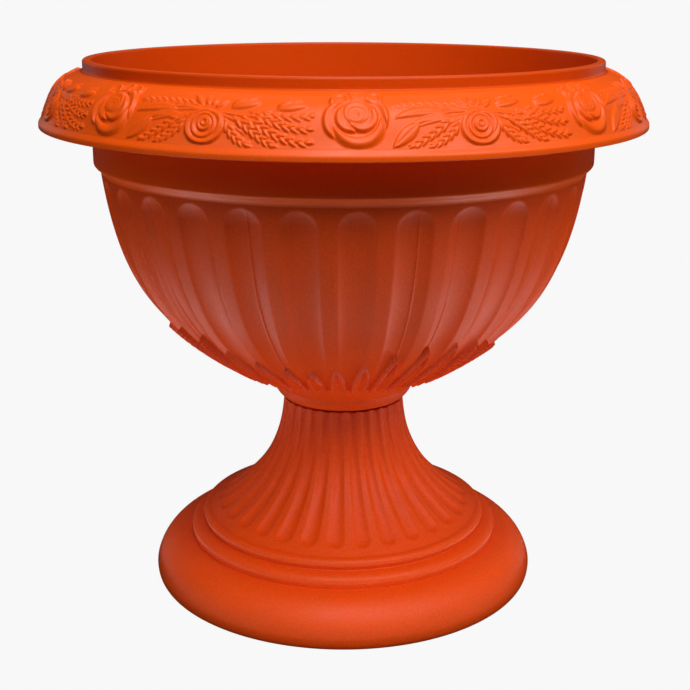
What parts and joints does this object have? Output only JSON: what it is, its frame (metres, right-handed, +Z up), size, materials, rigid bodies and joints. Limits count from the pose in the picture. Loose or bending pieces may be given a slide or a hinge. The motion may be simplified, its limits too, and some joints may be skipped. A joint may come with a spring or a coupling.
{
  "type": "urn planter",
  "caption": "Terracotta-coloured moulded urn planter: a fluted bowl with a drooping rim apron on a fluted pedestal with a rounded foot, bolted together.",
  "frame": {"origin": "on the ground at the centre of the foot", "axes": "+Z up along the urn's axis, -Y towards the front"},
  "size_m": [0.3994, 0.3994, 0.3644],
  "materials": {
    "bowl_plastic": "moulded polypropylene, satin outside the bowl, smoother on the rim and inside",
    "pedestal_plastic": "moulded polypropylene with a fine matt texture",
    "fitting_plastic": "moulded polypropylene, smooth",
    "washer_rubber": "matt moulded rubber"
  },
  "bodies": {
    "base": {"pedestal": "pedestal_plastic"},
    "basin": {"bowl": "bowl_plastic"},
    "bolt": {"clamp_bolt": "fitting_plastic", "sealing_washer": "washer_rubber"},
    "washer_under": {"nut_washer": "fitting_plastic"},
    "nut": {"wing_nut": "fitting_plastic"},
    "plug_1": {"drain_plug_1": "fitting_plastic"},
    "plug_2": {"drain_plug_2": "fitting_plastic"},
    "plug_3": {"drain_plug_3": "fitting_plastic"},
    "plug_4": {"drain_plug_4": "fitting_plastic"}
  },
  "joints": [
    {"name": "bowl_lift", "type": "slide", "parent": "base", "child": "basin", "axis": [0, 0, 1], "range_m": [0, 0.06]},
    {"name": "bolt_draw", "type": "slide", "parent": "basin", "child": "bolt", "axis": [0, 0, 1], "range_m": [0, 0.045]},
    {"name": "nut_run", "type": "slide", "parent": "base", "child": "washer_under", "axis": [0, 0, -1], "range_m": [0, 0.0151]},
    {"name": "nut_turn", "type": "hinge", "parent": "washer_under", "child": "nut", "pos_m": [0, 0, 0.112], "axis": [0, 0, -1], "range_deg": [0, 900]},
    {"name": "plug_1_pull", "type": "slide", "parent": "basin", "child": "plug_1", "axis": [0, 0, 1], "range_m": [0, 0.02]},
    {"name": "plug_2_pull", "type": "slide", "parent": "basin", "child": "plug_2", "axis": [0, 0, 1], "range_m": [0, 0.02]},
    {"name": "plug_3_pull", "type": "slide", "parent": "basin", "child": "plug_3", "axis": [0, 0, 1], "range_m": [0, 0.02]},
    {"name": "plug_4_pull", "type": "slide", "parent": "basin", "child": "plug_4", "axis": [0, 0, 1], "range_m": [0, 0.02]}
  ],
  "couplings": [
    {"joint": "nut_run", "follows": "nut_turn", "m_per_rad": 0.00095493}
  ]
}
